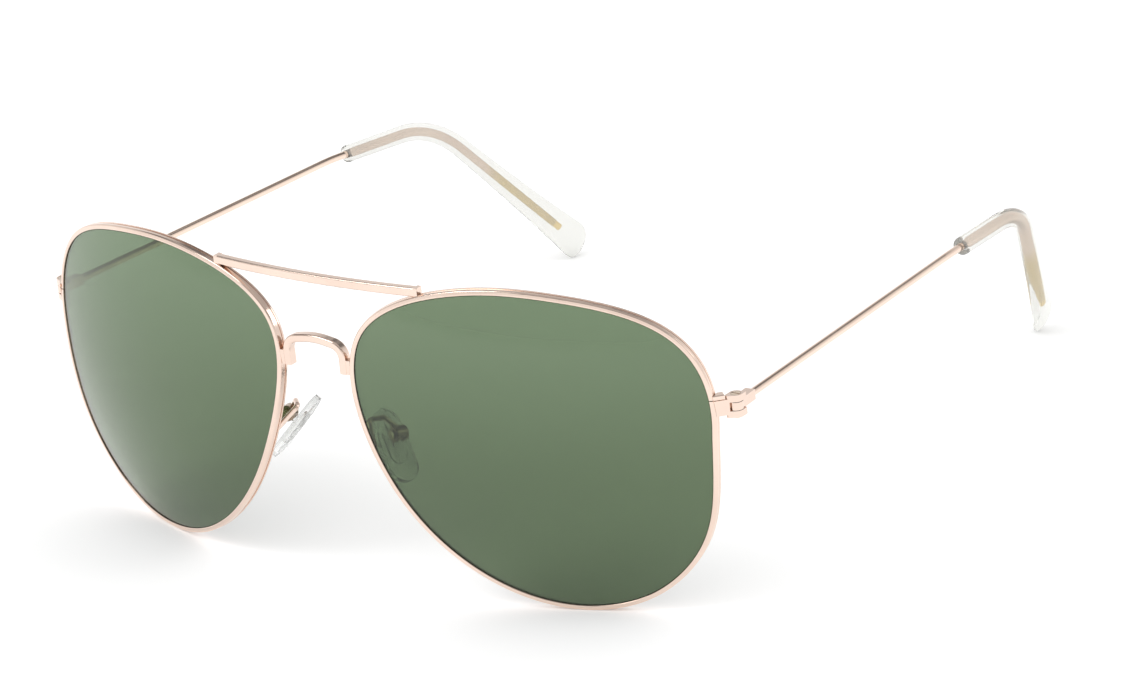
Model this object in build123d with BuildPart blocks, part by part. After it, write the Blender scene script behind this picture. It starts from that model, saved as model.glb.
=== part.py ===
from build123d import *
from math import cos, radians, sin, sqrt
import os

os.makedirs("parts", exist_ok=True)

# Wire-rimmed aviator sunglasses, standing open on their rims and tips.
# Millimetres. +Z is up, the lenses face -Y, and +X is the wearer's left.
# The origin is the middle of the footprint, on the surface that they stand on.

# ---------------------------------------------------------------- driving dimensions
# Lens outline: the visible opening of one rim, as a closed curve through ten points,
# each a share of the opening's half width and half height, temple side first.
opening_width = 60.0
opening_height = 53.3
outline_shape = (
    (0.993, 0.180), (0.797, 0.750), (0.203, 0.976), (-0.353, 0.979), (-0.950, 0.638),
    (-0.887, -0.083), (-0.547, -0.634), (-0.007, -0.972), (0.567, -0.904), (0.827, -0.645),
)
outline_steps = 40
lens_centre_x = 38.15
lens_curve_radius = 93.0
face_wrap = 14.9
face_tilt = 1.8

# Rim wire and lens edge
rim_width = 0.9
rim_depth = 1.55
rim_round = 0.28
channel_width = 0.45
channel_depth = 0.12
groove_width = 0.7
groove_depth = 0.4
lens_thickness = 0.95
lens_fit = 0.04
rim_split = 0.15
rim_split_reach = 5.6

# Brow bar
brow_end_u = -17.0
brow_height = 1.5
brow_depth = 1.4
brow_dip = 0.15
brow_bow = 1.0
brow_round = 0.3
brow_sink = 0.3
brow_foot_drop = 1.0
brow_foot_thickness = 0.7

# Bridge
bridge_foot_level = 38.5
bridge_shoulder_level = 43.0
bridge_crown_level = 43.9
bridge_stand_off = 1.2
bridge_corner_radius = 2.4
bridge_crown_radius = 14.0
bridge_width = 1.35
bridge_depth = 1.7
bridge_round = 0.35
bridge_foot_depth = 1.3
bridge_foot_height = 2.4

# End pieces, rim locks and hinges
hinge_level = 35.95
hinge_out = 1.9
hinge_back = 3.1
knuckle_radius = 1.15
knuckle_end_height = 1.1
knuckle_middle_height = 1.3
knuckle_gap = 0.1
knuckle_swing_gap = 0.25
end_piece_height = 2.6
end_piece_thickness = 2.7
plate_end_in = 0.3
plate_end_ahead = 1.45
plate_end_share = 0.33
knuckle_web_radius = 0.5
lock_block_height = 0.75
lock_block_width = 1.7
lock_block_thickness = 1.5
lock_block_chamfer = 0.15
lock_screw_grip = 0.55
lock_screw_out = 1.1
lock_screw_in = 0.65
lock_screw_radius = 0.28
lock_head_radius = 0.42
lock_head_height = 0.4
hinge_screw_radius = 0.5
hinge_screw_fit = 0.05
hinge_head_radius = 0.8
hinge_head_height = 0.4
hinge_screw_tail = 0.35
head_fit = 0.05
bore_excess = 1.0
slot_width = 0.22
slot_depth = 0.18

# Temples: places are counted from the hinge axis, back, in towards the head, and down
leaf_length = 3.4
leaf_width = 1.7
leaf_height = 1.7
leaf_rise = 0.05
leaf_round = 0.35
stop_gap = 0.1
wire_radius = 0.65
wire_socket = 2.2
kink_back, kink_in, kink_down = 70.0, 3.6, 1.15
bend_back, bend_in, bend_down = 96.7, 6.2, 3.2
tip_end_back, tip_end_in = 120.3, 17.8
kink_radius = 60.0
bend_radius = 19.0
tip_start_after_kink = 4.0
core_end_margin = 4.0
core_fit = 0.05
core_end_fit = 0.3

# Clear temple tips: a round front end that widens along the bend into a flat paddle
tip_front_diameter = 3.1
tip_swell = 0.4
paddle_height = 7.0
paddle_thickness = 2.3
paddle_flare = 3.5
paddle_thinning = 3
paddle_turn = 22.0
tip_steps = 12
tip_first_fall = 0.73
tip_fall_rounds = 6
# the paddle's rounded end: (distance past the path, height, thickness)
tip_nose = ((1.3, 6.4, 2.1), (2.3, 4.8, 1.5))
tip_nose_bulge = 0.12

# Nose pads, their boxes and their arms, on the wearer's left
pad_length = 12.8
pad_width = 5.4
pad_thickness = 1.5
pad_round = 0.45
pad_centre_x = 10.0
pad_centre_back = 3.2
pad_centre_level = 24.8
pad_down = Vector(0.57, -0.32, -0.76).normalized()
pad_face = Vector(-0.74, 0.14, -0.66).normalized()
core_plate_length = 6.5
core_plate_width = 3.0
core_plate_thickness = 0.5
core_plate_cover = 0.4
lug_width = 0.9
lug_radius = 0.8
lug_neck = 0.6
box_radius = 1.35
box_length = 2.3
box_lift = 2.5
box_up = 1.0
box_wall = 0.45
box_slot_fit = 0.08
box_round = 0.2
pad_screw_radius = 0.4
pad_screw_fit = 0.05
pad_head_radius = 0.75
pad_head_height = 0.35
arm_radius = 0.45
arm_bend_radius = 0.7
arm_rim_level = 26.3
arm_sink = 0.15
arm_top_level = 29.8
arm_top_x = 8.2
arm_top_back = 1.7
arm_top_half_width = 0.9

# ---------------------------------------------------------------- directions and frames
wrap = radians(face_wrap)
tilt = radians(face_tilt)
turn = radians(paddle_turn)
lens_out = Vector(cos(wrap), sin(wrap), 0)
lens_up = Vector(sin(tilt) * sin(wrap), -sin(tilt) * cos(wrap), cos(tilt))
lens_back = Vector(-cos(tilt) * sin(wrap), cos(tilt) * cos(wrap), sin(tilt))

half_width = opening_width / 2
half_height = opening_height / 2
outline_points = [(half_width * a, half_height * b) for a, b in outline_shape]

with BuildLine() as opening_line:
    Spline(*outline_points, periodic=True)

opening_edge = opening_line.edge()


def outline_at(distance):
    """Points of the opening's outline moved outwards by this distance."""
    spots = []
    for step in range(outline_steps):
        along = opening_edge % (step / outline_steps)
        outwards = Vector(along.Y, -along.X)
        spots.append(opening_edge @ (step / outline_steps) + outwards * distance)
    return spots


with BuildSketch() as rim_outline:
    with BuildLine():
        Spline(*outline_at(rim_width), periodic=True)
    make_face()

rim_edge = rim_outline.edge()


def sag(u, v, depth=0.0):
    """Distance behind the lens apex of the curved face at (u, v), depth below the front."""
    return lens_curve_radius - sqrt((lens_curve_radius - depth) ** 2 - u * u - v * v)


rim_drop = -rim_outline.sketch.bounding_box().min.Y
lens_centre_level = rim_drop * cos(tilt) - sag(0, rim_drop) * sin(tilt)


def rim_side(v, outward):
    """The rim's outer edge beside height v: the temple side if outward is 1, the nose if -1."""
    level_line = Axis((0, v, 0), (1, 0, 0))
    found = rim_edge.find_intersection_points(level_line)
    return outward * max(outward * point.X for point in found)


def rim_top(u):
    """Height of the rim's upper outer edge above the lens centre at u."""
    upright = Axis((u, 0, 0), (0, 1, 0))
    return max(point.Y for point in rim_edge.find_intersection_points(upright))


hinge_v = hinge_level - lens_centre_level
hinge_u = rim_side(hinge_v, 1)
rim_corner = (
    lens_out * hinge_u + lens_up * hinge_v + lens_back * sag(hinge_u, hinge_v)
    + Vector(lens_centre_x, 0, 0)
)
hinge_x = rim_corner.X + hinge_out
hinge_behind_apex = rim_corner.Y + hinge_back

front_reach = lens_curve_radius * (1 - cos(wrap) * cos(tilt))
tip_run = Vector(-(tip_end_in - bend_in), tip_end_back - bend_back, 0)


def section_axis(heading, share):
    """The height direction of the tip's section, which leans outwards more along the tip."""
    outwards = heading.cross(Vector(0, 0, 1)).normalized()
    lean = turn * share ** 2
    return outwards.cross(heading) * cos(lean) + outwards * sin(lean)


def nose_reach(towards, fall):
    """How far the tip's rounded end reaches past its path, if the last run falls at this share."""
    heading = tip_run.normalized() * sqrt(1 - fall * fall) - Vector(0, 0, fall)
    upwards = section_axis(heading, 1)
    across = heading.cross(upwards)
    reaches = []
    for past, height, thickness in tip_nose:
        half = Vector(upwards.dot(towards) * height / 2, across.dot(towards) * thickness / 2)
        reaches.append(heading.dot(towards) * past + half.length)
    return max(reaches) + tip_nose_bulge


tip_fall = tip_first_fall
for _ in range(tip_fall_rounds):
    tip_end_level = nose_reach(Vector(0, 0, -1), tip_fall)
    drop = hinge_level + leaf_rise - bend_down - tip_end_level
    tip_fall = drop / sqrt(drop * drop + tip_run.length ** 2)

back_reach = hinge_behind_apex + tip_end_back + nose_reach(Vector(0, 1, 0), tip_fall)
apex_y = -(back_reach - front_reach) / 2

lens_plane = Plane(origin=(lens_centre_x, apex_y, lens_centre_level), x_dir=lens_out,
                   z_dir=-lens_back)
curve_centre = lens_plane.origin + lens_back * lens_curve_radius
blank_front = 2.0
blank_length = sag(half_width, half_height) + rim_depth + 2 * blank_front


def on_lens(u, v, depth):
    """A point of the wearer's left lens or rim, depth below its curved front."""
    return lens_plane.origin + lens_out * u + lens_up * v + lens_back * sag(u, v, depth)


def level_plane(level):
    """The horizontal plane at this height above the surface that the glasses stand on."""
    return Plane.XY.offset(level)


# ---------------------------------------------------------------- rims and lenses
groove_top = (rim_depth - groove_width) / 2
with BuildPart() as groove:
    with BuildSketch(lens_plane.offset(blank_front)):
        with BuildLine():
            Spline(*outline_at(groove_depth), periodic=True)
        make_face()
    extrude(amount=-blank_length)
    with Locations(curve_centre):
        Sphere(lens_curve_radius - groove_top, mode=Mode.INTERSECT)
    with Locations(curve_centre):
        Sphere(lens_curve_radius - groove_top - groove_width, mode=Mode.SUBTRACT)

channel_top = (rim_depth - channel_width) / 2
with BuildPart() as rim_channel:
    with BuildSketch(lens_plane.offset(blank_front)):
        with BuildLine():
            Spline(*outline_at(rim_width + channel_depth), periodic=True)
        make_face()
        with BuildLine():
            Spline(*outline_at(rim_width - channel_depth), periodic=True)
        make_face(mode=Mode.SUBTRACT)
    extrude(amount=-blank_length)
    with Locations(curve_centre):
        Sphere(lens_curve_radius - channel_top, mode=Mode.INTERSECT)
    with Locations(curve_centre):
        Sphere(lens_curve_radius - channel_top - channel_width, mode=Mode.SUBTRACT)

with BuildPart() as rim:
    with BuildSketch(lens_plane.offset(blank_front)):
        with BuildLine():
            Spline(*outline_at(rim_width), periodic=True)
        make_face()
        with BuildLine():
            Spline(*outline_at(0), periodic=True)
        make_face(mode=Mode.SUBTRACT)
    extrude(amount=-blank_length)
    with Locations(curve_centre):
        Sphere(lens_curve_radius, mode=Mode.INTERSECT)
    with Locations(curve_centre):
        Sphere(lens_curve_radius - rim_depth, mode=Mode.SUBTRACT)
    fillet(rim.edges(), radius=rim_round)
    add(groove.part, mode=Mode.SUBTRACT)
    add(rim_channel.part, mode=Mode.SUBTRACT)

with BuildPart() as rim_plug:
    with BuildSketch(lens_plane.offset(blank_front)):
        with BuildLine():
            Spline(*outline_at(rim_width), periodic=True)
        make_face()
    extrude(amount=-blank_length)

with BuildPart() as rim_plug_right:
    mirror(rim_plug.part, about=Plane.YZ)

with BuildPart() as lens_bevel:
    with BuildSketch(lens_plane.offset(blank_front)):
        with BuildLine():
            Spline(*outline_at(groove_depth - lens_fit), periodic=True)
        make_face()
    extrude(amount=-blank_length)
    with Locations(curve_centre):
        Sphere(lens_curve_radius - groove_top - lens_fit, mode=Mode.INTERSECT)
    with Locations(curve_centre):
        Sphere(lens_curve_radius - groove_top - groove_width + lens_fit, mode=Mode.SUBTRACT)

lens_recess = (rim_depth - lens_thickness) / 2
with BuildPart() as lens:
    with BuildSketch(lens_plane.offset(blank_front)):
        with BuildLine():
            Spline(*outline_at(-lens_fit), periodic=True)
        make_face()
    extrude(amount=-blank_length)
    with Locations(curve_centre):
        Sphere(lens_curve_radius - lens_recess, mode=Mode.INTERSECT)
    with Locations(curve_centre):
        Sphere(lens_curve_radius - lens_recess - lens_thickness, mode=Mode.SUBTRACT)
    add(lens_bevel.part)

# ---------------------------------------------------------------- brow bar
brow_end = on_lens(brow_end_u, rim_top(brow_end_u), rim_depth / 2)
brow_end = brow_end + Vector(0, 0, brow_height / 2 - brow_sink)
brow_end_right = Vector(-brow_end.X, brow_end.Y, brow_end.Z)
brow_middle = Vector(0, brow_end.Y - brow_bow, brow_end.Z - brow_dip)

with BuildPart() as brow_bar:
    with BuildLine() as brow_line:
        ThreePointArc(brow_end_right, brow_middle, brow_end)
    with BuildSketch(Plane(origin=brow_end_right, x_dir=(0, 1, 0), z_dir=brow_line.line % 0)):
        RectangleRounded(brow_depth, brow_height, brow_round)
    sweep()
    for foot_side in (-1, 1):
        foot_x = foot_side * (brow_end.X - brow_foot_thickness / 2)
        with Locations((foot_x, brow_end.Y, brow_end.Z + brow_height / 2)):
            Box(brow_foot_thickness, brow_depth, brow_height + brow_foot_drop,
                align=(Align.CENTER, Align.CENTER, Align.MAX))
    add(rim_plug.part, mode=Mode.SUBTRACT)
    add(rim_plug_right.part, mode=Mode.SUBTRACT)

# ---------------------------------------------------------------- bridge
foot_v = bridge_foot_level + bridge_foot_height / 2 - lens_centre_level
bridge_seat = on_lens(rim_side(foot_v, -1), foot_v, rim_depth / 2)
bridge_x = bridge_seat.X - bridge_stand_off
bridge_plane = Plane.XZ.offset(-bridge_seat.Y)

with BuildPart() as bridge:
    with BuildLine(bridge_plane):
        FilletPolyline(
            (-bridge_x, bridge_foot_level),
            (-bridge_x, bridge_shoulder_level),
            (0, bridge_crown_level),
            (bridge_x, bridge_shoulder_level),
            (bridge_x, bridge_foot_level),
            radius=[bridge_corner_radius, bridge_crown_radius, bridge_corner_radius],
        )
    with BuildSketch(Plane(origin=(-bridge_x, bridge_seat.Y, bridge_foot_level),
                           x_dir=(1, 0, 0), z_dir=(0, 0, 1))):
        RectangleRounded(bridge_width, bridge_depth, bridge_round)
    sweep()
    for foot_side in (-1, 1):
        foot_x = foot_side * (bridge_x - bridge_width / 2)
        foot_align = Align.MAX if foot_side < 0 else Align.MIN
        with Locations((foot_x, bridge_seat.Y, bridge_foot_level)):
            Box(bridge_width + 2 * bridge_stand_off, bridge_foot_depth, bridge_foot_height,
                align=(foot_align, Align.CENTER, Align.MIN))
    add(rim_plug.part, mode=Mode.SUBTRACT)
    add(rim_plug_right.part, mode=Mode.SUBTRACT)

# ---------------------------------------------------------------- end piece, lock and hinge
corner = on_lens(hinge_u, hinge_v, 0)
hinge = Vector(hinge_x, apex_y + hinge_behind_apex)
plate_low = hinge_level - end_piece_height / 2
plate_top = plate_low + end_piece_height
knuckle_span = knuckle_middle_height + 2 * knuckle_gap
hinge_top = hinge_level + knuckle_span / 2 + knuckle_end_height
hinge_low = hinge_level - knuckle_span / 2 - knuckle_end_height

plate_start = Vector(corner.X, corner.Y)
plate_end = hinge + Vector(-plate_end_in, -plate_end_ahead)
along_plate = (plate_end - plate_start).normalized()
plate_inward = Vector(-along_plate.Y, along_plate.X)
plate_root = plate_start - along_plate * rim_width
plate_corners = [
    plate_root,
    plate_end,
    plate_end + plate_inward * end_piece_thickness * plate_end_share,
    plate_start + plate_inward * end_piece_thickness,
    plate_root + plate_inward * end_piece_thickness,
]
lock_centre = plate_start + along_plate * lock_screw_out + plate_inward * lock_screw_in
block_low = plate_top + rim_split

with BuildPart() as end_piece:
    with BuildSketch(level_plane(plate_low)):
        Polygon(*[(point.X, point.Y) for point in plate_corners], align=None)
    extrude(amount=end_piece_height)
    for knuckle_low in (hinge_low, hinge_top - knuckle_end_height):
        with BuildSketch(level_plane(knuckle_low)) as knuckle_shape:
            with Locations((hinge.X, hinge.Y)):
                Circle(knuckle_radius)
            web_centre = plate_end + plate_inward * knuckle_web_radius
            with Locations((web_centre.X, web_centre.Y)):
                Circle(knuckle_web_radius)
            make_hull()
            with Locations((hinge.X, hinge.Y)):
                Rectangle(knuckle_radius, knuckle_radius, align=(Align.MIN, Align.MIN))
        extrude(amount=knuckle_end_height)
    with Locations((hinge.X, hinge.Y, hinge_level)):
        Cylinder(knuckle_radius + knuckle_swing_gap, knuckle_span, mode=Mode.SUBTRACT)
        Cylinder(hinge_screw_radius, hinge_top - hinge_low + bore_excess, mode=Mode.SUBTRACT)
    with Locations((hinge.X, hinge.Y, hinge_top)):
        Cylinder(hinge_head_radius + head_fit, hinge_head_height, mode=Mode.SUBTRACT,
                 align=(Align.CENTER, Align.CENTER, Align.MAX))
    with Locations((lock_centre.X, lock_centre.Y, hinge_level)):
        Cylinder(lock_screw_radius, end_piece_height + bore_excess, mode=Mode.SUBTRACT)
    with Locations((lock_centre.X, lock_centre.Y, plate_low)):
        Cylinder(lock_head_radius + head_fit, lock_head_height, mode=Mode.SUBTRACT,
                 align=(Align.CENTER, Align.CENTER, Align.MIN))
    add(rim_plug.part, mode=Mode.SUBTRACT)

with BuildPart() as lock_block:
    with BuildSketch(level_plane(block_low)):
        block_end = plate_start + along_plate * lock_block_width
        block_corners = [
            plate_root,
            block_end,
            block_end + plate_inward * lock_block_thickness,
            plate_root + plate_inward * lock_block_thickness,
        ]
        Polygon(*[(point.X, point.Y) for point in block_corners], align=None)
    extrude(amount=lock_block_height)
    add(rim_plug.part, mode=Mode.SUBTRACT)
    chamfer(lock_block.faces().sort_by(Axis.Z)[-1].edges(), length=lock_block_chamfer)
    with Locations((lock_centre.X, lock_centre.Y, block_low)):
        Cylinder(lock_screw_radius, lock_screw_grip, mode=Mode.SUBTRACT,
                 align=(Align.CENTER, Align.CENTER, Align.MIN))

with BuildPart() as rim_screw:
    with Locations((lock_centre.X, lock_centre.Y, plate_low)):
        Cylinder(lock_head_radius, lock_head_height,
                 align=(Align.CENTER, Align.CENTER, Align.MIN))
        Cylinder(lock_screw_radius, end_piece_height + rim_split + lock_screw_grip,
                 align=(Align.CENTER, Align.CENTER, Align.MIN))
        Box(2 * lock_head_radius, slot_width, slot_depth, mode=Mode.SUBTRACT,
            align=(Align.CENTER, Align.CENTER, Align.MIN))

with BuildPart() as hinge_screw:
    with Locations((hinge.X, hinge.Y, hinge_top)):
        Cylinder(hinge_head_radius, hinge_head_height,
                 align=(Align.CENTER, Align.CENTER, Align.MAX))
        Cylinder(hinge_screw_radius, hinge_top - hinge_low + hinge_screw_tail,
                 align=(Align.CENTER, Align.CENTER, Align.MAX))
        Box(2 * hinge_head_radius, slot_width, slot_depth, mode=Mode.SUBTRACT,
            align=(Align.CENTER, Align.CENTER, Align.MAX))

with BuildPart() as split_cut:
    with Locations((corner.X, corner.Y, plate_top)):
        Box(rim_split_reach, rim_split_reach, rim_split,
            align=(Align.CENTER, Align.CENTER, Align.MIN))

with BuildPart() as split_rim:
    add(rim.part)
    add(split_cut.part, mode=Mode.SUBTRACT)

# ---------------------------------------------------------------- temple
temple_plane = Plane(origin=(hinge.X, hinge.Y, hinge_level), x_dir=(-kink_in, kink_back, 0),
                     z_dir=(0, 0, 1))
leaf_start = knuckle_radius + stop_gap
wire_level = hinge_level + leaf_rise


def on_temple(back, inward, down):
    """A point of the wearer's left temple, counted from the hinge axis at the wire's height."""
    return Vector(hinge.X - inward, hinge.Y + back, wire_level - down)


wire_start = temple_plane.origin + temple_plane.x_dir * (leaf_start + leaf_length - wire_socket)
wire_start = wire_start + Vector(0, 0, leaf_rise)
kink = on_temple(kink_back, kink_in, kink_down)
bend = on_temple(bend_back, bend_in, bend_down)
tip_end = Vector(hinge.X - tip_end_in, hinge.Y + tip_end_back, tip_end_level)
after_kink = (bend - kink).normalized()
after_bend = (tip_end - bend).normalized()
tip_start = kink + after_kink * tip_start_after_kink
core_end = tip_end - after_bend * core_end_margin

with BuildPart() as temple_wire:
    with BuildLine() as wire_line:
        FilletPolyline(wire_start, kink, bend, core_end, radius=[kink_radius, bend_radius])
    with BuildSketch(Plane(origin=wire_start, z_dir=(kink - wire_start).normalized())):
        Circle(wire_radius)
    sweep()

with BuildPart() as temple_hinge:
    with BuildSketch(temple_plane.offset(-knuckle_middle_height / 2)):
        Circle(knuckle_radius)
        Rectangle(leaf_start + leaf_round, leaf_width, align=(Align.MIN, Align.CENTER))
    extrude(amount=knuckle_middle_height)
    with BuildSketch(temple_plane.offset(leaf_rise - leaf_height / 2)):
        with Locations((leaf_start, 0)):
            Rectangle(leaf_length, leaf_width, align=(Align.MIN, Align.CENTER))
    extrude(amount=leaf_height)
    leaf_back = temple_hinge.faces().sort_by(Axis(temple_plane.origin, temple_plane.x_dir))[-1]
    fillet(leaf_back.edges(), radius=leaf_round)
    with Locations((hinge.X, hinge.Y, hinge_level)):
        Cylinder(hinge_screw_radius + hinge_screw_fit, knuckle_span + bore_excess,
                 mode=Mode.SUBTRACT)
    add(temple_wire.part, mode=Mode.SUBTRACT)

with BuildPart() as core_channel:
    with BuildLine():
        FilletPolyline(tip_start - after_kink, bend, core_end + after_bend * core_end_fit,
                       radius=bend_radius)
    with BuildSketch(Plane(origin=tip_start - after_kink, z_dir=after_kink)):
        Circle(wire_radius + core_fit)
    sweep()


def tip_height(share):
    """Height of the tip's section at this share of its length."""
    flare = paddle_height - tip_front_diameter - tip_swell
    return tip_front_diameter + tip_swell * share + flare * share ** paddle_flare


def tip_thickness(share):
    """Thickness of the tip's section at this share of its length."""
    return tip_front_diameter + (paddle_thickness - tip_front_diameter) * share ** paddle_thinning


with BuildLine() as tip_line:
    FilletPolyline(tip_start, bend, tip_end, radius=bend_radius)

tip_path = tip_line.wire()
with BuildPart() as temple_tip:
    for step in range(tip_steps + 1):
        share = step / tip_steps
        with BuildSketch(Plane(origin=tip_path @ share, z_dir=tip_path % share,
                               x_dir=section_axis(tip_path % share, share))):
            Ellipse(tip_height(share) / 2, tip_thickness(share) / 2)
    for past, height, thickness in tip_nose:
        with BuildSketch(Plane(origin=tip_end + after_bend * past, z_dir=after_bend,
                               x_dir=section_axis(after_bend, 1))):
            Ellipse(height / 2, thickness / 2)
    loft()
    add(core_channel.part, mode=Mode.SUBTRACT)

# ---------------------------------------------------------------- nose pad, box and arm
pad_across = pad_face.cross(pad_down).normalized()
pad_centre = Vector(pad_centre_x, apex_y + pad_centre_back, pad_centre_level)
pad_plane = Plane(origin=pad_centre, x_dir=pad_down, z_dir=pad_down.cross(pad_across))
pad_normal = pad_plane.z_dir
box_centre = pad_centre - pad_normal * box_lift - pad_plane.x_dir * box_up
box_plane = Plane(origin=box_centre, x_dir=pad_plane.x_dir, z_dir=pad_across)
pad_back_gap = box_lift - pad_thickness / 2

with BuildPart() as pad_core:
    with BuildSketch(pad_plane.offset(-pad_thickness / 2 + core_plate_cover)):
        SlotOverall(core_plate_length, core_plate_width)
    extrude(amount=core_plate_thickness)
    with BuildSketch(box_plane.offset(-lug_width / 2)):
        Circle(lug_radius)
        Rectangle(2 * lug_neck, pad_back_gap + core_plate_cover + core_plate_thickness / 2,
                  align=(Align.CENTER, Align.MAX))
    extrude(amount=lug_width)
    with BuildSketch(box_plane.offset(-lug_width)):
        Circle(pad_screw_radius + pad_screw_fit)
    extrude(amount=2 * lug_width, mode=Mode.SUBTRACT)

with BuildPart() as nose_pad:
    with BuildSketch(pad_plane.offset(-pad_thickness / 2)):
        SlotOverall(pad_length, pad_width)
    extrude(amount=pad_thickness)
    fillet(nose_pad.edges().filter_by(GeomType.LINE, reverse=True).group_by(SortBy.LENGTH)[-1],
           radius=pad_round)
    add(pad_core.part, mode=Mode.SUBTRACT)

with BuildPart() as box_drum:
    with BuildSketch(box_plane.offset(-box_length / 2)):
        Circle(box_radius)
    extrude(amount=box_length)
    fillet(box_drum.edges().filter_by(GeomType.CIRCLE), radius=box_round)

with BuildPart() as pad_box:
    add(box_drum.part)
    with BuildSketch(box_plane.offset(-lug_width / 2 - box_slot_fit)):
        with Locations((-box_radius + box_wall, box_radius - box_wall)):
            Rectangle(2 * box_radius, 2 * box_radius, align=(Align.MIN, Align.MAX))
    extrude(amount=lug_width + 2 * box_slot_fit, mode=Mode.SUBTRACT)
    with BuildSketch(box_plane.offset(-box_length)):
        Circle(pad_screw_radius)
    extrude(amount=2 * box_length, mode=Mode.SUBTRACT)

with BuildPart() as pad_screw:
    with BuildSketch(box_plane.offset(-box_length / 2)):
        Circle(pad_screw_radius)
    extrude(amount=box_length)
    with BuildSketch(box_plane.offset(box_length / 2)):
        Circle(pad_head_radius)
    extrude(amount=pad_head_height)
    with BuildSketch(box_plane.offset(box_length / 2 + pad_head_height - slot_depth)):
        Rectangle(2 * pad_head_radius, slot_width)
    extrude(amount=slot_depth, mode=Mode.SUBTRACT)

arm_v = arm_rim_level - lens_centre_level
arm_root = on_lens(rim_side(arm_v, -1) + arm_radius, arm_v, rim_depth - arm_sink)
arm_rise = Vector(arm_top_x - arm_top_half_width, apex_y + arm_top_back - arm_top_half_width,
                  arm_top_level)
arm_fall = Vector(arm_top_x + arm_top_half_width, apex_y + arm_top_back + arm_top_half_width,
                  arm_top_level)
arm_end = box_centre - pad_plane.x_dir * (box_radius - arm_sink)

with BuildPart() as pad_arm:
    with BuildLine() as arm_line:
        FilletPolyline(arm_root, arm_rise, arm_fall, arm_end, radius=arm_bend_radius)
    with BuildSketch(Plane(origin=arm_root, z_dir=(arm_rise - arm_root).normalized())):
        Circle(arm_radius)
    sweep()
    add(rim.part, mode=Mode.SUBTRACT)
    add(groove.part, mode=Mode.SUBTRACT)
    add(box_drum.part, mode=Mode.SUBTRACT)

# ---------------------------------------------------------------- labels and files
brow_bar.part.label = "brow_bar"
export_step(brow_bar.part, "parts/brow_bar.step")
bridge.part.label = "bridge"
export_step(bridge.part, "parts/bridge.step")

left_pieces = {
    "rim": split_rim, "lens": lens, "end_piece": end_piece, "lock_block": lock_block,
    "rim_screw": rim_screw, "hinge_screw": hinge_screw, "temple_hinge": temple_hinge,
    "temple_wire": temple_wire, "temple_tip": temple_tip, "pad_arm": pad_arm,
    "pad_box": pad_box, "pad_screw": pad_screw, "pad_core": pad_core, "nose_pad": nose_pad,
}
for name, piece in left_pieces.items():
    with BuildPart() as right_piece:
        mirror(piece.part, about=Plane.YZ)
    piece.part.label = f"{name}_left"
    right_piece.part.label = f"{name}_right"
    export_step(piece.part, f"parts/{name}_left.step")
    export_step(right_piece.part, f"parts/{name}_right.step")
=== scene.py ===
"""Wire-rimmed aviator sunglasses: the finish of every piece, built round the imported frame."""
import logging
import math
from dataclasses import dataclass
from enum import Enum
from typing import Any

import bmesh
import bpy
from mathutils import Matrix, Quaternion, Vector


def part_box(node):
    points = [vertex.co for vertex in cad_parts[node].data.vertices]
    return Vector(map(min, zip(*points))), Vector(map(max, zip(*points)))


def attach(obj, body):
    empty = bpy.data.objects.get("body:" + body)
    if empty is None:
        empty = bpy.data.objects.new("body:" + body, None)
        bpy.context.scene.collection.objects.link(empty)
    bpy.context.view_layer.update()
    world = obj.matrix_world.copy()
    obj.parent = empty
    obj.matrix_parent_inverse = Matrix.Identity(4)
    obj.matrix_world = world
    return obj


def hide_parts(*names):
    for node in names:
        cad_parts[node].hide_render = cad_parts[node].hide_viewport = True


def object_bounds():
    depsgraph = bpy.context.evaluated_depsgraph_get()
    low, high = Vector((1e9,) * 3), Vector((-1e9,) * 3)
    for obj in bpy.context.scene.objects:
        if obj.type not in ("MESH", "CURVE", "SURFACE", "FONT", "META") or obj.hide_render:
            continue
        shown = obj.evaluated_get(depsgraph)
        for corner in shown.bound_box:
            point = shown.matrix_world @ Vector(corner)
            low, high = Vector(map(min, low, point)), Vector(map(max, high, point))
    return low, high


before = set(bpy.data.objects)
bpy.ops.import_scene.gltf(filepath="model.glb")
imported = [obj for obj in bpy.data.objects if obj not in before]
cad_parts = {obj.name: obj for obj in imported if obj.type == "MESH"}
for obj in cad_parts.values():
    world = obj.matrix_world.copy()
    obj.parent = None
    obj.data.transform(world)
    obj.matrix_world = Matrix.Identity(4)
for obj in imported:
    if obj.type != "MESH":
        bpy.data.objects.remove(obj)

log = logging.getLogger("sunglasses")

MM = 0.001
CAD_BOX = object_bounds()
WHITE = (1.0, 1.0, 1.0)
# A Mix node's colour sockets share their names with its number sockets, so they go by their places.
MIX_LOW, MIX_HIGH, MIX_RESULT = 6, 7, 2

Colour = tuple[float, float, float]
Socket = bpy.types.NodeSocket


class Side(Enum):
    """Which half of the glasses a piece belongs to, from the wearer's view."""

    LEFT = "left"
    RIGHT = "right"

    @property
    def sign(self) -> int:
        """+1 on the wearer's left, where X is positive, and -1 on the right."""
        return 1 if self is Side.LEFT else -1

    def node(self, name: str) -> str:
        """The name of this side's own copy of a piece."""
        return f"{name}_{self.value}"


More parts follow.
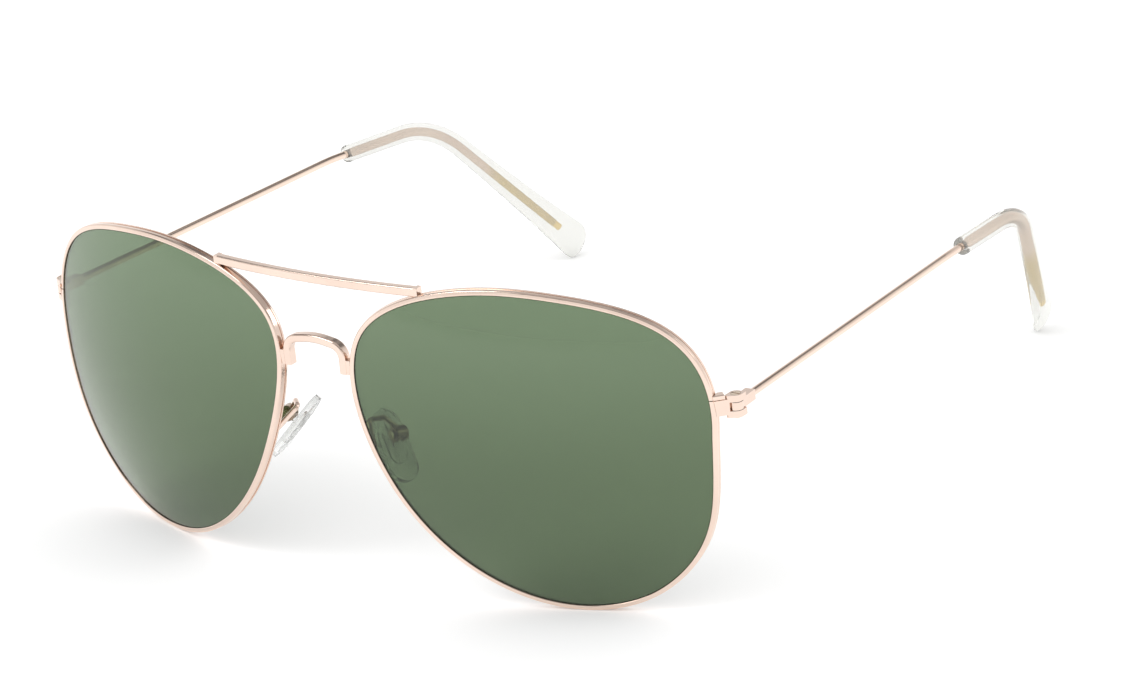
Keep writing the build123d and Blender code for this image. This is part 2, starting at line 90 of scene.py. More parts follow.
# ------------------------------------------------------------------ shader building
class ShaderTree:
    """A node tree, of a material, a group or the world, with short calls to fill it."""

    def __init__(self, tree: bpy.types.NodeTree) -> None:
        self.tree = tree
        self.tree.nodes.clear()

    def add(self, kind: str, **settings: Any) -> bpy.types.Node:
        """Adds a node.

        Args:
            kind: The node's type, without its ShaderNode prefix.
            settings: Properties of the node, by name.

        Returns:
            The new node.
        """
        full = kind if kind.startswith("NodeGroup") else f"ShaderNode{kind}"
        node = self.tree.nodes.new(full)
        for key, value in settings.items():
            setattr(node, key, value)
        return node

    def link(self, source: Socket, target: Socket) -> None:
        """Joins an output socket to an input socket."""
        self.tree.links.new(source, target)

    def maths(self, operation: str, first: Any, second: Any = None) -> Socket:
        """Adds a Math node.

        Args:
            operation: The Math node's operation.
            first: A socket or a number.
            second: A socket, a number or None.

        Returns:
            The node's output socket.
        """
        node = self.add("Math", operation=operation)
        for slot, value in zip(node.inputs, (first, second)):
            if isinstance(value, Socket):
                self.link(value, slot)
            elif value is not None:
                slot.default_value = value
        return node.outputs[0]

    def set_colour(self, slot: Socket, colour: Socket | Colour) -> None:
        """Joins a colour's socket to an input, or writes a plain colour on it."""
        if isinstance(colour, Socket):
            self.link(colour, slot)
        else:
            slot.default_value = (*colour, 1)

    def mix_colour(self, factor: Socket, low: Socket | Colour, high: Colour) -> Socket:
        """Adds a node that goes from one colour to another.

        Args:
            factor: The socket that chooses between them, from 0 to 1.
            low: The colour at 0, or its socket.
            high: The colour at 1.

        Returns:
            The mixed colour's socket.
        """
        node = self.add("Mix", data_type="RGBA")
        self.link(factor, node.inputs["Factor"])
        self.set_colour(node.inputs[MIX_LOW], low)
        self.set_colour(node.inputs[MIX_HIGH], high)
        return node.outputs[MIX_RESULT]

    def object_axis(self, axis: str) -> Socket:
        """Reads the place along one of the object's own axes, which is X, Y or Z."""
        place = self.add("TexCoord")
        parts = self.add("SeparateXYZ")
        self.link(place.outputs["Object"], parts.inputs[0])
        return parts.outputs[axis]

    def ramp(self, factor: Socket, low: float, high: float,
             out_low: float = 0.0, out_high: float = 1.0) -> Socket:
        """Adds a smooth change of a value from one range to another.

        Args:
            factor: The value that is read.
            low: Where the change starts.
            high: Where it ends.
            out_low: The result at and below low.
            out_high: The result at and above high.

        Returns:
            The result's socket.
        """
        node = self.add("MapRange", interpolation_type="SMOOTHSTEP")
        self.link(factor, node.inputs["Value"])
        for name, value in (("From Min", low), ("From Max", high), ("To Min", out_low), ("To Max", out_high)):
            node.inputs[name].default_value = value
        return node.outputs["Result"]


class GroupTree(ShaderTree):
    """A shader node group's tree, with its input node as source and its output node as sink."""

    def __init__(self, name: str, inputs: tuple[str, ...], output: str) -> None:
        group = bpy.data.node_groups.new(name, "ShaderNodeTree")
        for title in inputs:
            group.interface.new_socket(title, in_out="INPUT", socket_type="NodeSocketFloat")
        group.interface.new_socket(output, in_out="OUTPUT", socket_type="NodeSocketFloat")
        super().__init__(group)
        self.source = self.add("NodeGroupInput")
        self.sink = self.add("NodeGroupOutput")

    def noise(self, vector: Socket, scale: Socket | float, detail: float | None = None) -> Socket:
        """Adds a noise.

        Args:
            vector: The place that is read.
            scale: The noise's scale, or its socket.
            detail: The noise's detail, where it isn't the usual one.

        Returns:
            The noise's value.
        """
        node = self.add("TexNoise")
        self.link(vector, node.inputs["Vector"])
        if isinstance(scale, Socket):
            self.link(scale, node.inputs["Scale"])
        else:
            node.inputs["Scale"].default_value = scale
        if detail is not None:
            node.inputs["Detail"].default_value = detail
        return node.outputs[0]

    def put_out(self, value: Socket) -> bpy.types.NodeTree:
        """Joins the result to the group's output, and gives the finished group."""
        self.link(value, self.sink.inputs[0])
        return self.tree


@dataclass(frozen=True)
class Hairlines:
    """Fine handling scratches: a mask of thin lines in two directions."""

    directions: tuple[tuple[float, float], ...] = ((0.5, 14.0), (-0.9, 9.0))
    lean: tuple[float, float, float] = (1.0, 0.6, 1.7)
    detail: float = 3.0
    edge: tuple[float, float] = (0.58, 0.72)

    def make(self) -> bpy.types.NodeTree:
        """Builds the group, with a scale and an amount to set."""
        tree = GroupTree("hairlines", ("Scale", "Amount"), "Mask")
        place = tree.add("TexCoord")
        masks = []
        for turn, stretch in self.directions:
            mapping = tree.add("Mapping")
            mapping.inputs["Rotation"].default_value = [turn * part for part in self.lean]
            mapping.inputs["Scale"].default_value = (1.0, stretch, 1.0)
            tree.link(place.outputs["Object"], mapping.inputs["Vector"])
            lines = tree.noise(mapping.outputs["Vector"], tree.source.outputs["Scale"], self.detail)
            masks.append(tree.ramp(lines, *self.edge))
        both = tree.maths("MAXIMUM", *masks)
        return tree.put_out(tree.maths("MULTIPLY", both, tree.source.outputs["Amount"]))


@dataclass(frozen=True)
class Cloudiness:
    """Slow, soft unevenness of a surface, from 0 to 1."""

    detail: float = 2.0
    edge: tuple[float, float] = (0.3, 0.7)

    def make(self) -> bpy.types.NodeTree:
        """Builds the group, with a scale to set."""
        tree = GroupTree("cloudiness", ("Scale",), "Value")
        place = tree.add("TexCoord")
        clouds = tree.noise(place.outputs["Object"], tree.source.outputs["Scale"], self.detail)
        return tree.put_out(tree.ramp(clouds, *self.edge))


@dataclass(frozen=True)
class Dust:
    """A few fine specks of dust in patches, as a mask."""

    speck_edge: tuple[float, float] = (0.05, 0.09)
    patch_scale: float = 70.0
    patch_edge: tuple[float, float] = (0.52, 0.62)

    def make(self) -> bpy.types.NodeTree:
        """Builds the group, with a scale and an amount to set."""
        tree = GroupTree("dust", ("Scale", "Amount"), "Mask")
        place = tree.add("TexCoord")
        cells = tree.add("TexVoronoi")
        cells.inputs["Randomness"].default_value = 1.0
        tree.link(place.outputs["Object"], cells.inputs["Vector"])
        tree.link(tree.source.outputs["Scale"], cells.inputs["Scale"])
        specks = tree.ramp(cells.outputs["Distance"], *self.speck_edge, 1.0, 0.0)
        patches = tree.ramp(tree.noise(place.outputs["Object"], self.patch_scale), *self.patch_edge)
        kept = tree.maths("MULTIPLY", specks, patches)
        return tree.put_out(tree.maths("MULTIPLY", kept, tree.source.outputs["Amount"]))


@dataclass(frozen=True)
class Effects:
    """The shader groups that the finishes share."""

    hairlines: bpy.types.NodeTree
    cloudiness: bpy.types.NodeTree
    dust: bpy.types.NodeTree


class MaterialSheet(ShaderTree):
    """A material's node tree, with its Principled shader ready to be fed."""

    def __init__(self, name: str) -> None:
        self.material = bpy.data.materials.new(name)
        self.material.use_nodes = True
        super().__init__(self.material.node_tree)
        self.output = self.add("OutputMaterial")
        self.principled = self.add("BsdfPrincipled")
        self.link(self.principled.outputs[0], self.output.inputs["Surface"])

    def put(self, **values: Any) -> None:
        """Sets constants on the Principled shader, with _ for a space in a socket's name."""
        for key, value in values.items():
            socket = self.principled.inputs[key.replace("_", " ")]
            socket.default_value = (*value, 1) if isinstance(value, tuple) else value

    def group(self, tree: bpy.types.NodeTree, **values: float) -> Socket:
        """Places a shared group.

        Args:
            tree: The group.
            values: Its inputs, by name.

        Returns:
            The group's result.
        """
        node = self.add("Group", node_tree=tree)
        for key, value in values.items():
            node.inputs[key].default_value = value
        return node.outputs[0]

    def feed(self, socket: Socket, name: str) -> None:
        """Joins a socket to one of the Principled shader's inputs."""
        self.link(socket, self.principled.inputs[name])

    def bump(self, height: Socket, distance: float) -> None:
        """Turns a height, which is 1 at a distance in metres, into the shader's normal."""
        node = self.add("Bump")
        node.inputs["Distance"].default_value = distance
        node.inputs["Strength"].default_value = 1.0
        self.link(height, node.inputs["Height"])
        self.feed(node.outputs[0], "Normal")

    def feed_roughness(self, base: float, lines: Socket, line_share: float,
                       clouds: Socket, cloud_share: float) -> None:
        """Makes the roughness of a base, and of the shares of scratches and unevenness over it.

        Args:
            base: The roughness of the cleanest surface.
            lines: The scratches' mask.
            line_share: What a scratch adds.
            clouds: The unevenness.
            cloud_share: What its height adds.
        """
        rough = self.maths("ADD", self.maths("MULTIPLY", lines, line_share),
                           self.maths("MULTIPLY", clouds, cloud_share))
        self.feed(self.maths("ADD", rough, base), "Roughness")

    def let_light_past(self, tint: Socket | Colour) -> None:
        """Lets the lamps' light and the scattered light past the surface, tinted.

        Args:
            tint: The colour that the light takes, or its socket.
        """
        clear = self.add("BsdfTransparent")
        self.set_colour(clear.inputs["Color"], tint)
        ray = self.add("LightPath")
        unseen = self.maths("MAXIMUM", ray.outputs["Is Shadow Ray"], ray.outputs["Is Diffuse Ray"])
        mix = self.add("MixShader")
        for source, slot in zip((unseen, self.principled.outputs[0], clear.outputs[0]), mix.inputs):
            self.link(source, slot)
        self.link(mix.outputs[0], self.output.inputs["Surface"])


@dataclass(frozen=True)
class PlatedMetal:
    """A polished plated wire or fitting.

    It may turn to a bare metal between two places along Y, and carry painted shade, a darker colour,
    on the wall that looks at the middle of a lens.
    """

    name: str
    colour: Colour
    worn_colour: Colour
    ior: float = 1.5
    clean_roughness: float = 0.11
    line_roughness: float = 0.12
    cloud_roughness: float = 0.05
    scratch_depth: float = 0.0012 * MM
    cloud_scale: float = 140.0
    line_scale: float = 1300.0
    line_amount: float = 0.7
    bare_colour: Colour | None = None
    bare_edge: tuple[float, float] = (0.0, 1.0)
    # Painted shade on a rim's wall that faces its lens: the lens's middle, the shade's colour and the edge of
    # its mask.
    painted_shade_centre: Vector | None = None
    painted_shade_colour: Colour = (0.16, 0.12, 0.09)
    painted_shade_edge: tuple[float, float] = (0.5, 0.8)

    def make(self, effects: Effects) -> bpy.types.Material:
        """Builds the metal's material.

        Args:
            effects: The shared groups.

        Returns:
            The material.
        """
        sheet = MaterialSheet(self.name)
        sheet.put(Metallic=1.0, IOR=self.ior)
        clouds = sheet.group(effects.cloudiness, Scale=self.cloud_scale)
        lines = sheet.group(effects.hairlines, Scale=self.line_scale, Amount=self.line_amount)
        plated = sheet.mix_colour(clouds, self.colour, self.worn_colour)
        if self.bare_colour:
            bare = sheet.ramp(sheet.object_axis("Y"), *self.bare_edge)
            plated = sheet.mix_colour(bare, plated, self.bare_colour)
        if self.painted_shade_centre:
            # Painted shade: the rim's wall that faces its lens is darkened in its colour.
            plated = sheet.mix_colour(self.find_painted_shade(sheet), plated, self.painted_shade_colour)
        sheet.feed(plated, "Base Color")
        sheet.feed_roughness(self.clean_roughness, lines, self.line_roughness,
                             clouds, self.cloud_roughness)
        sheet.bump(lines, self.scratch_depth)
        return sheet.material

    def find_painted_shade(self, sheet: MaterialSheet) -> Socket:
        """Finds the wall of a rim that looks at its lens, where shade is painted into the colour for the
        lens's dark light.

        Args:
            sheet: The metal's node tree.

        Returns:
            The mask of that wall's painted shade.
        """
        place = sheet.add("TexCoord")
        inwards = sheet.add("VectorMath", operation="SUBTRACT")
        inwards.inputs[0].default_value = self.painted_shade_centre
        sheet.link(place.outputs["Object"], inwards.inputs[1])
        unit = sheet.add("VectorMath", operation="NORMALIZE")
        sheet.link(inwards.outputs[0], unit.inputs[0])
        facing = sheet.add("VectorMath", operation="DOT_PRODUCT")
        sheet.link(unit.outputs[0], facing.inputs[0])
        sheet.link(sheet.add("NewGeometry").outputs["Normal"], facing.inputs[1])
        return sheet.ramp(facing.outputs["Value"], *self.painted_shade_edge)


@dataclass(frozen=True)
class TintedGlass:
    """A lens of see-through tinted plastic, with painted shade that makes its colour a little darker towards
    its foot.
    """

    name: str
    top_tint: Colour
    foot_tint_with_painted_shade: Colour
    top_level: float
    foot_level: float
    ior: float = 1.5
    dust_scale: float = 420.0
    dust_amount: float = 0.10

    def make(self, effects: Effects) -> bpy.types.Material:
        """Builds the lens's material.

        Args:
            effects: The shared groups.

        Returns:
            The material.
        """
        sheet = MaterialSheet(self.name)
        sheet.put(Metallic=0.0, IOR=self.ior, Transmission_Weight=1.0)
        # Painted shade: the tint darkens from the lens's top down to its foot.
        rise = sheet.ramp(sheet.object_axis("Z"), self.foot_level, self.top_level)
        tint = sheet.mix_colour(rise, self.foot_tint_with_painted_shade, self.top_tint)
        sheet.feed(tint, "Base Color")
        sheet.feed(sheet.group(effects.dust, Scale=self.dust_scale, Amount=self.dust_amount), "Roughness")
        sheet.let_light_past(tint)
        return sheet.material


@dataclass(frozen=True)
class ClearPlastic:
    """A clear moulded plastic, glossy or satin."""

    name: str
    tint: Colour
    clouded_tint: Colour
    ior: float
    roughness: float
    clearness: float
    shadow_tint: Colour
    line_roughness: float = 0.08
    cloud_roughness: float = 0.02
    cloud_scale: float = 60.0
    line_scale: float = 700.0
    line_amount: float = 0.4

    def make(self, effects: Effects) -> bpy.types.Material:
        """Builds the plastic's material.

        Args:
            effects: The shared groups.

        Returns:
            The material.
        """
        sheet = MaterialSheet(self.name)
        sheet.put(Metallic=0.0, IOR=self.ior, Transmission_Weight=self.clearness)
        clouds = sheet.group(effects.cloudiness, Scale=self.cloud_scale)
        lines = sheet.group(effects.hairlines, Scale=self.line_scale, Amount=self.line_amount)
        sheet.feed(sheet.mix_colour(clouds, self.tint, self.clouded_tint), "Base Color")
        sheet.feed_roughness(self.roughness, lines, self.line_roughness, clouds, self.cloud_roughness)
        sheet.let_light_past(self.shadow_tint)
        return sheet.material


# ------------------------------------------------------------------ dressing the frame
def dress(node_name: str, material: bpy.types.Material) -> None:
    """Gives a frame node its finish.

    Args:
        node_name: The node.
        material: The finish.
    """
    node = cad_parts[node_name]
    for slot in node.material_slots:
        slot.material = material
    log.info("dressed %s in %s", node_name, material.name)


def finish_piece(name: str, shape: bmesh.types.BMesh, place: Matrix, body: str,
                 material: bpy.types.Material) -> bpy.types.Object:
    """Turns a mesh under construction into a smooth piece that rides on a body.

    Args:
        name: The piece's name.
        shape: The mesh, in millimetres about its own middle, which is used up.
        place: The turn and place of the piece in the glasses, in metres.
        body: The body that it rides on.
        material: Its finish.

    Returns:
        The piece.
    """
    bmesh.ops.transform(shape, matrix=place @ Matrix.Scale(MM, 4), verts=shape.verts)
    bmesh.ops.recalc_face_normals(shape, faces=shape.faces)
    for face in shape.faces:
        face.smooth = True
    mesh = bpy.data.meshes.new(name)
    shape.to_mesh(mesh)
    shape.free()
    mesh.materials.append(material)
    piece = bpy.data.objects.new(name, mesh)
    bpy.context.scene.collection.objects.link(piece)
    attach(piece, body)
    log.info("built %s with %d faces", name, len(mesh.polygons))
    return piece


# ------------------------------------------------------------------ nose pads
@dataclass
class NosePad:
    """One crowned silicone pad, softly rounded all round and flat on its back, in millimetres."""

    side: Side
    length: float = 12.8
    width: float = 5.4
    edge_thickness: float = 1.0
    crown: float = 0.42
    edge_round: float = 0.42
    top_taper: float = 0.88
    crown_steps: int = 5
    crown_step_width: float = 0.5
    segments: int = 56
    round_steps: int = 5
    sharp_corner: float = 1.2
    middle_gap: float = 0.01
    down: tuple[float, float, float] = (0.5686, -0.3192, -0.7581)
    face: tuple[float, float, float] = (-0.7593, 0.1510, -0.6330)

    def place(self) -> Matrix:
        """Works out the turn and place of the pad.

        Returns:
            The matrix from the pad's own axes, length first and face last, in metres.
        """
        low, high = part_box(self.side.node("nose_pad"))
        flip = Matrix.Diagonal((self.side.sign, 1, 1))
        along = (flip @ Vector(self.down)).normalized()
        outwards = (flip @ Vector(self.face)).normalized()
        across = outwards.cross(along).normalized()
        turned = Matrix((along, across, outwards)).transposed().to_4x4()
        return Matrix.Translation((Vector(low) + Vector(high)) / 2) @ turned

    def outline(self) -> bmesh.types.BMesh:
        """Draws the pad's flat outline, a rounded oblong that is narrower at its top.

        Returns:
            The mesh, one face on the level of the pad's back.
        """
        shape = bmesh.new()
        bmesh.ops.create_circle(shape, cap_ends=True, segments=self.segments, radius=self.width / 2)
        for end in (-1, 1):
            half = [vert for vert in shape.verts if vert.co.x * end > self.middle_gap]
            bmesh.ops.translate(shape, verts=half, vec=(end * (self.length - self.width) / 2, 0, 0))
            if end < 0:
                bmesh.ops.scale(shape, verts=half, vec=(1, self.top_taper, 1))
        bmesh.ops.translate(shape, verts=shape.verts, vec=(0, 0, -(self.edge_thickness + self.crown) / 2))
        return shape

    def build(self, material: bpy.types.Material) -> bpy.types.Object:
        """Builds the pad and lets it stand for the plain one.

        Args:
            material: The silicone's finish.

        Returns:
            The pad.
        """
        shape = self.outline()
        raised = bmesh.ops.extrude_face_region(shape, geom=shape.faces[:])["geom"]
        top_verts = [item for item in raised if isinstance(item, bmesh.types.BMVert)]
        bmesh.ops.translate(shape, verts=top_verts, vec=(0, 0, self.edge_thickness))
        front = next(item for item in raised if isinstance(item, bmesh.types.BMFace))
        for step in range(self.crown_steps):
            share = (self.crown_steps - step) / sum(range(1, self.crown_steps + 1))
            bmesh.ops.inset_region(shape, faces=[front], thickness=self.crown_step_width,
                                   depth=self.crown * share, use_even_offset=True, use_boundary=True)
        corners = [edge for edge in shape.edges if edge.calc_face_angle(0) > self.sharp_corner]
        bmesh.ops.bevel(shape, geom=corners, offset=self.edge_round, segments=self.round_steps,
                        profile=0.5, affect="EDGES", clamp_overlap=True, material=-1)
        piece = finish_piece(self.side.node("soft_pad"), shape, self.place(),
                             self.side.node("nose_pad"), material)
        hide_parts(self.side.node("nose_pad"))
        return piece


# ------------------------------------------------------------------ temple tips
@dataclass
class TempleTip:
    """One clear tip: round at its mouth, swelling along the bend into a turned flat paddle.

    Its sizes are in millimetres. The kink and the bend are counted back, inwards and down from the hinge
    and the wire's level, and the end back and inwards.
    """

    side: Side
    wire_level: float = 36.00
    kink: tuple[float, float, float] = (70.0, 3.6, 1.15)
    bend: tuple[float, float, float] = (96.7, 6.2, 3.2)
    end: tuple[float, float] = (120.3, 17.8)
    end_level: float = 3.329
    start_after_kink: float = 4.0
    bend_radius: float = 19.0
    front_diameter: float = 3.1
    swell: float = 0.4
    paddle_height: float = 7.0
    paddle_thickness: float = 2.3
    flare: float = 3.5
    thinning: int = 3
    turn: float = 22.0
    turn_growth: int = 2
    channel_radius: float = 0.70
    channel_end: float = 0.92
    steps: int = 44
    segments: int = 40
    mouth: tuple[tuple[float, float], ...] = ((0.0, 0.72), (0.08, 0.88), (0.22, 0.97), (0.42, 1.0))
    nose: tuple[tuple[float, float, float], ...] = (
        (0.6, 7.0, 2.28), (1.1, 6.75, 2.2), (1.55, 6.3, 2.08), (1.95, 5.6, 1.9),
        (2.25, 4.6, 1.6), (2.45, 3.3, 1.2), (2.52, 2.2, 0.8),
    )

    def on_temple(self, hinge: Vector, spot: tuple[float, float, float]) -> Vector:
        """Turns a place counted back, inwards and down from the hinge into a point.

        Args:
            hinge: The hinge, in millimetres.
            spot: The distances back, inwards and down.

        Returns:
            The point on the wearer's left temple.
        """
        back, inward, down = spot
        return Vector((hinge.x - inward, hinge.y + back, self.wire_level - down))

    def path(self) -> list[tuple[Vector, Vector, float]]:
        """Follows the middle of the tip, straight, round the bend and straight again.

        Returns:
            Each station's point, heading and share of the length.
        """
        low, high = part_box("hinge_screw_left")
        hinge = (Vector(low) + Vector(high)) / 2 / MM
        kink = self.on_temple(hinge, self.kink)
        corner = self.on_temple(hinge, self.bend)
        end = Vector((hinge.x - self.end[1], hinge.y + self.end[0], self.end_level))
        first = (corner - kink).normalized()
        last = (end - corner).normalized()
        start = kink + first * self.start_after_kink
        angle = first.angle(last)
        axis = first.cross(last).normalized()
        cut = self.bend_radius * math.tan(angle / 2)
        first_run = (corner - start).length - cut
        round_run = self.bend_radius * angle
        total = first_run + round_run + (end - corner).length - cut
        arm = first.cross(axis) * self.bend_radius
        centre = corner - first * cut - arm
        stations = []
        for step in range(self.steps + 1):
            along = total * step / self.steps
            if along <= first_run:
                stations.append((start + first * along, first, step / self.steps))
            elif along <= first_run + round_run:
                turned = Quaternion(axis, (along - first_run) / self.bend_radius)
                stations.append((centre + turned @ arm, turned @ first, step / self.steps))
            else:
                stations.append((end - last * (total - along), last, step / self.steps))
        return stations

    def add_section(self, shape: bmesh.types.BMesh, point: Vector, heading: Vector, share: float,
                    height: float, thickness: float) -> list[bmesh.types.BMEdge]:
        """Adds one elliptical section.

        Args:
            shape: The mesh.
            point: The section's middle.
            heading: The direction that it faces.
            share: Its share of the tip's length, which sets its lean.
            height: Its height.
            thickness: Its thickness.

        Returns:
            The section's edges.
        """
        outwards = heading.cross(Vector((0, 0, 1))).normalized()
        lean = math.radians(self.turn) * share ** self.turn_growth
        upwards = outwards.cross(heading) * math.cos(lean) + outwards * math.sin(lean)
        across = heading.cross(upwards)
        frame_of_section = Matrix((upwards * height, across * thickness, heading)).transposed().to_4x4()
        ring = bmesh.ops.create_circle(shape, cap_ends=False, segments=self.segments, radius=0.5,
                                       matrix=Matrix.Translation(point) @ frame_of_section)["verts"]
        kept = set(ring)
        return [edge for edge in shape.edges if edge.verts[0] in kept and edge.verts[1] in kept]

    def build(self, material: bpy.types.Material) -> bpy.types.Object:
        """Builds the tip and lets it stand for the plain one.

        Args:
            material: The clear plastic's finish.

        Returns:
            The tip.
        """
        shape = bmesh.new()
        stations = self.path()
        start, start_heading, _ = stations[0]
        rings = []
        for past, fullness in self.mouth:
            size = self.front_diameter * fullness
            rings.append(self.add_section(shape, start + start_heading * past, start_heading, 0, size, size))
        for point, heading, share in stations[1:]:
            flare = self.paddle_height - self.front_diameter - self.swell
            height = self.front_diameter + self.swell * share + flare * share ** self.flare
            thinner = (self.paddle_thickness - self.front_diameter) * share ** self.thinning
            thickness = self.front_diameter + thinner
            rings.append(self.add_section(shape, point, heading, share, height, thickness))
        end, end_heading, _ = stations[-1]
        for past, height, thickness in self.nose:
            rings.append(self.add_section(shape, end + end_heading * past, end_heading, 1, height, thickness))
        bore = 2 * self.channel_radius
        inner = [self.add_section(shape, point, heading, share, bore, bore)
                 for point, heading, share in stations if share < self.channel_end]
        for near, far in [*zip(rings, rings[1:]), *zip(inner, inner[1:]), (rings[0], inner[0])]:
            bmesh.ops.bridge_loops(shape, edges=near + far)
        bmesh.ops.holes_fill(shape, edges=inner[-1] + rings[-1], sides=0)
        place = Matrix.Diagonal((self.side.sign, 1, 1, 1))
        piece = finish_piece(self.side.node("clear_sleeve"), shape, place,
                             self.side.node("temple"), material)
        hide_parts(self.side.node("temple_tip"))
        return piece


# ------------------------------------------------------------------ studio
@dataclass(frozen=True)
class Lamp:
    """One soft square lamp that points at the glasses."""

    name: str
    place: tuple[float, float, float]
    power: float
    size: float = 0.5

    def hang(self) -> None:
        """Hangs the lamp in its place."""
        light = bpy.data.lights.new(self.name, "AREA")
        light.size = self.size
        light.energy = self.power
        lamp = bpy.data.objects.new(self.name, light)
        lamp.location = self.place
        lamp.rotation_euler = Vector(self.place).to_track_quat("Z", "Y").to_euler()
        bpy.context.scene.collection.objects.link(lamp)


@dataclass
class Studio:
    """The pale floor, the white surroundings, the soft lamps and the camera."""

    azimuth: float = 37.18
    elevation: float = 21.60
    roll: float = -5.97
    distance: float = 0.850
    focal_length: float = 176.5
    sensor_width: float = 36.0
    nearest_seen: float = 0.01
    target_x: float = 0.04771
    target_behind_front: float = 0.00304
    target_z: float = 0.04923
    floor_size: float = 6.0
    floor_colour: float = 0.93
    floor_glow: float = 0.15
    floor_roughness: float = 0.9
    world_light: float = 0.95
    mirror_fade: tuple[float, float] = (0.05, 0.75)
    overhead_light: float = 0.52
    dark_band: tuple[float, float] = (0.50, 0.74)
    band_edge: float = 0.07
    band_depth: float = 0.72
    lamps: tuple[Lamp, ...] = (Lamp("key", (-0.5, -0.7, 0.9), 3.0), Lamp("fill", (0.9, 0.3, 0.7), 1.5))

    def build_camera(self) -> None:
        """Places the camera at its viewing angle, and makes it the scene's camera."""
        turn, lift, roll = (math.radians(a) for a in (self.azimuth, self.elevation, self.roll))
        back = Vector((math.sin(turn) * math.cos(lift), -math.cos(turn) * math.cos(lift), math.sin(lift)))
        right = Vector((math.cos(turn), math.sin(turn), 0))
        up = back.cross(right)
        right_rolled = right * math.cos(roll) + up * math.sin(roll)
        up_rolled = up * math.cos(roll) - right * math.sin(roll)
        target = Vector((self.target_x, CAD_BOX[0][1] + self.target_behind_front, self.target_z))
        camera = bpy.data.objects.new("camera", bpy.data.cameras.new("camera"))
        camera.data.lens = self.focal_length
        camera.data.sensor_width = self.sensor_width
        camera.data.clip_start = self.nearest_seen
        turned = Matrix((right_rolled, up_rolled, back)).transposed().to_4x4()
        camera.matrix_world = Matrix.Translation(target + back * self.distance) @ turned
        bpy.context.scene.collection.objects.link(camera)
        bpy.context.scene.camera = camera

    def build_floor(self) -> None:
        """Lays the pale floor that the glasses stand on."""
        mesh = bpy.data.meshes.new("floor")
        shape = bmesh.new()
        bmesh.ops.create_grid(shape, x_segments=1, y_segments=1, size=self.floor_size / 2)
        shape.to_mesh(mesh)
        shape.free()
        floor = bpy.data.objects.new("floor", mesh)
        bpy.context.scene.collection.objects.link(floor)
        sheet = MaterialSheet("pale_floor")
        sheet.put(Base_Color=(self.floor_colour,) * 3, Roughness=self.floor_roughness,
                  Specular_IOR_Level=0.0, Emission_Color=WHITE)
        ray = sheet.add("LightPath")
        looked_at = sheet.maths("MAXIMUM", ray.outputs["Is Camera Ray"],
                                sheet.maths("MAXIMUM", ray.outputs["Is Glossy Ray"],
                                            ray.outputs["Is Transmission Ray"]))
        sheet.feed(sheet.maths("MULTIPLY", looked_at, self.floor_glow), "Emission Strength")
        mesh.materials.append(sheet.material)

    def build_world(self) -> None:
        """Surrounds the scene with white, dimmer overhead where polished things mirror it."""
        world = bpy.data.worlds.new("studio")
        world.use_nodes = True
        bpy.context.scene.world = world
        tree = ShaderTree(world.node_tree)
        output = tree.add("OutputWorld")
        place = tree.add("TexCoord")
        parts = tree.add("SeparateXYZ")
        tree.link(place.outputs["Generated"], parts.inputs[0])
        height = parts.outputs["Z"]
        fading = tree.ramp(height, *self.mirror_fade, 1.0, self.overhead_light)
        band_foot, band_top = self.dark_band
        rising = tree.ramp(height, band_foot, band_foot + self.band_edge)
        falling = tree.ramp(height, band_top - self.band_edge, band_top, 1.0, 0.0)
        band = tree.maths("MULTIPLY", tree.maths("MULTIPLY", rising, falling), self.band_depth)
        mirrored = tree.maths("MULTIPLY", fading, tree.maths("SUBTRACT", 1.0, band))
        ray = tree.add("LightPath")
        seen = tree.maths("MAXIMUM", ray.outputs["Is Camera Ray"], ray.outputs["Is Transmission Ray"])
        plain = tree.maths("MULTIPLY", ray.outputs["Is Glossy Ray"], mirrored)
        light = tree.maths("MAXIMUM", seen, plain)
        lit = tree.maths("SUBTRACT", 1.0, tree.maths("MAXIMUM", seen, ray.outputs["Is Glossy Ray"]))
        strength = tree.maths("ADD", light, tree.maths("MULTIPLY", lit, self.world_light))
        background = tree.add("Background")
        tree.set_colour(background.inputs["Color"], WHITE)
        tree.link(strength, background.inputs["Strength"])
        tree.link(background.outputs[0], output.inputs["Surface"])

    def build(self) -> None:
        """Builds the whole studio."""
        self.build_camera()
        self.build_floor()
        self.build_world()
        for lamp in self.lamps:
            lamp.hang()
        bpy.context.scene.view_settings.view_transform = "Standard"


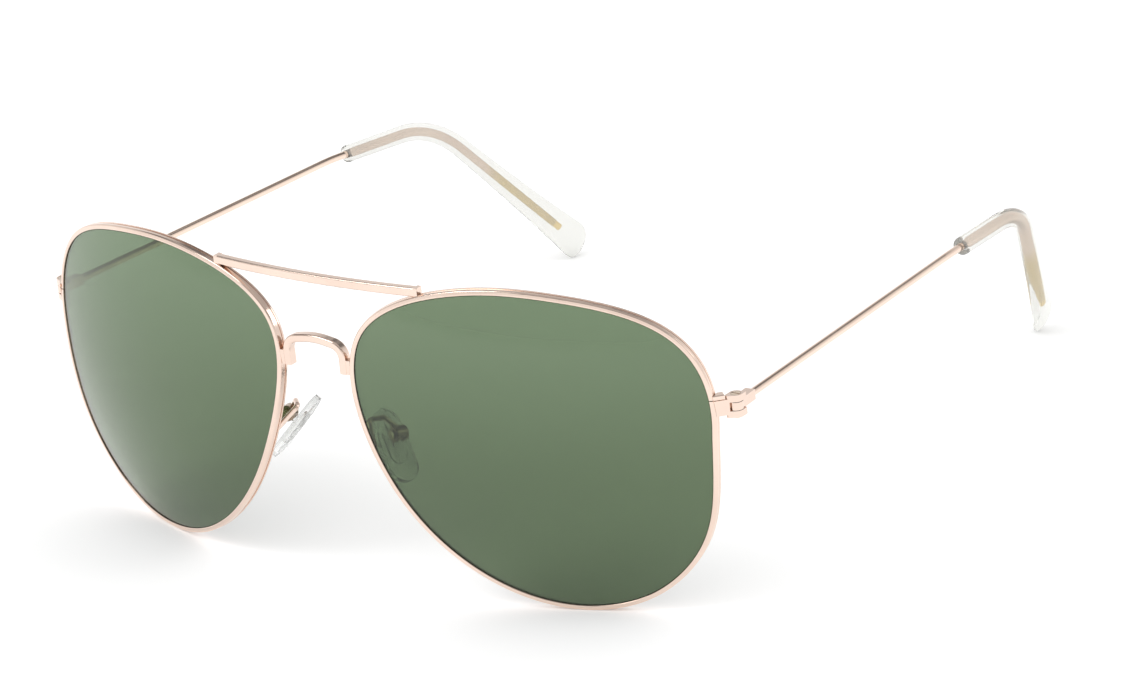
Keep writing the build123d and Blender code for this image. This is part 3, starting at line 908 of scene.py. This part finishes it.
# ------------------------------------------------------------------ the whole pair
@dataclass
class Glasses:
    """The whole pair: the finish that each piece takes, and the soft pieces that are remade."""

    rose: Colour = (0.82, 0.645, 0.55)
    worn_rose: Colour = (0.86, 0.69, 0.59)
    lens_fade_above_foot: float = 22 * MM
    lens_fade_past_top: float = 6 * MM
    middle_pieces: tuple[str, ...] = ("brow_bar", "bridge")
    side_pieces: tuple[tuple[str, tuple[str, ...]], ...] = (
        ("rose_gold_plate", ("end_piece", "lock_block", "temple_hinge", "pad_arm")),
        ("pad_box_painted_shade_plate", ("pad_box",)),
        ("screw_plate", ("rim_screw", "hinge_screw", "pad_screw")),
        ("temple_wire_plate", ("temple_wire",)),
        ("tinted_lens", ("lens",)),
        ("clear_tip", ("temple_tip",)),
        ("pad_core_plastic", ("pad_core",)),
        ("clear_silicone", ("nose_pad",)),
    )

    def make_finishes(self, effects: Effects) -> dict[str, bpy.types.Material]:
        """Builds every finish that isn't a side's own.

        Args:
            effects: The shared groups.

        Returns:
            The materials by name.
        """
        lens_low, lens_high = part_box(Side.LEFT.node("lens"))
        finishes = (
            PlatedMetal("rose_gold_plate", self.rose, self.worn_rose),
            PlatedMetal("temple_wire_plate", (0.88, 0.69, 0.58), (0.92, 0.74, 0.62),
                        bare_colour=(0.80, 0.62, 0.30), bare_edge=(52 * MM, 56 * MM)),
            # The pad boxes' plate is a darkened copy of the rose gold: painted shade for the dark reflection
            # that the boxes show.
            PlatedMetal("pad_box_painted_shade_plate", (0.42, 0.33, 0.25), (0.48, 0.38, 0.29), clean_roughness=0.19),
            PlatedMetal("screw_plate", (0.80, 0.66, 0.52), (0.86, 0.72, 0.58), clean_roughness=0.17),
            # The lens's foot colour holds painted shade and is darker than its tint at the top.
            TintedGlass("tinted_lens", top_tint=(0.150, 0.215, 0.124), foot_tint_with_painted_shade=(0.094, 0.141, 0.071),
                        top_level=lens_high.z + self.lens_fade_past_top,
                        foot_level=lens_low.z + self.lens_fade_above_foot),
            ClearPlastic("clear_tip", tint=(0.92, 0.92, 0.895), clouded_tint=(0.89, 0.89, 0.86),
                         ior=1.10, roughness=0.04, clearness=0.80, shadow_tint=(0.62, 0.62, 0.60)),
            ClearPlastic("clear_silicone", tint=(0.96, 0.965, 0.96), clouded_tint=(0.93, 0.94, 0.93),
                         ior=1.30, roughness=0.14, clearness=0.90, shadow_tint=(0.85, 0.85, 0.85)),
            ClearPlastic("pad_core_plastic", tint=(0.97, 0.97, 0.96), clouded_tint=(0.95, 0.95, 0.94),
                         ior=1.40, roughness=0.06, clearness=0.93, shadow_tint=(0.9, 0.9, 0.9)),
        )
        return {finish.name: finish.make(effects) for finish in finishes}

    def build(self) -> None:
        """Dresses every node of the frame, and builds the pads and the tips in their places."""
        effects = Effects(Hairlines().make(), Cloudiness().make(), Dust().make())
        finishes = self.make_finishes(effects)
        for name in self.middle_pieces:
            dress(name, finishes["rose_gold_plate"])
        for side in Side:
            for finish, names in self.side_pieces:
                for name in names:
                    dress(side.node(name), finishes[finish])
            low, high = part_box(side.node("lens"))
            # Each rim's plate carries painted shade on the wall that faces its lens.
            rim = PlatedMetal(side.node("rim_plate_with_painted_shade"), self.rose, self.worn_rose, painted_shade_centre=(low + high) / 2)
            dress(side.node("rim"), rim.make(effects))
            NosePad(side).build(finishes["clear_silicone"])
            TempleTip(side).build(finishes["clear_tip"])


def main() -> None:
    """Builds the glasses and the studio."""
    logging.basicConfig(level=logging.INFO, format="%(message)s")
    Glasses().build()
    Studio().build()


if __name__ == "__main__":
    main()
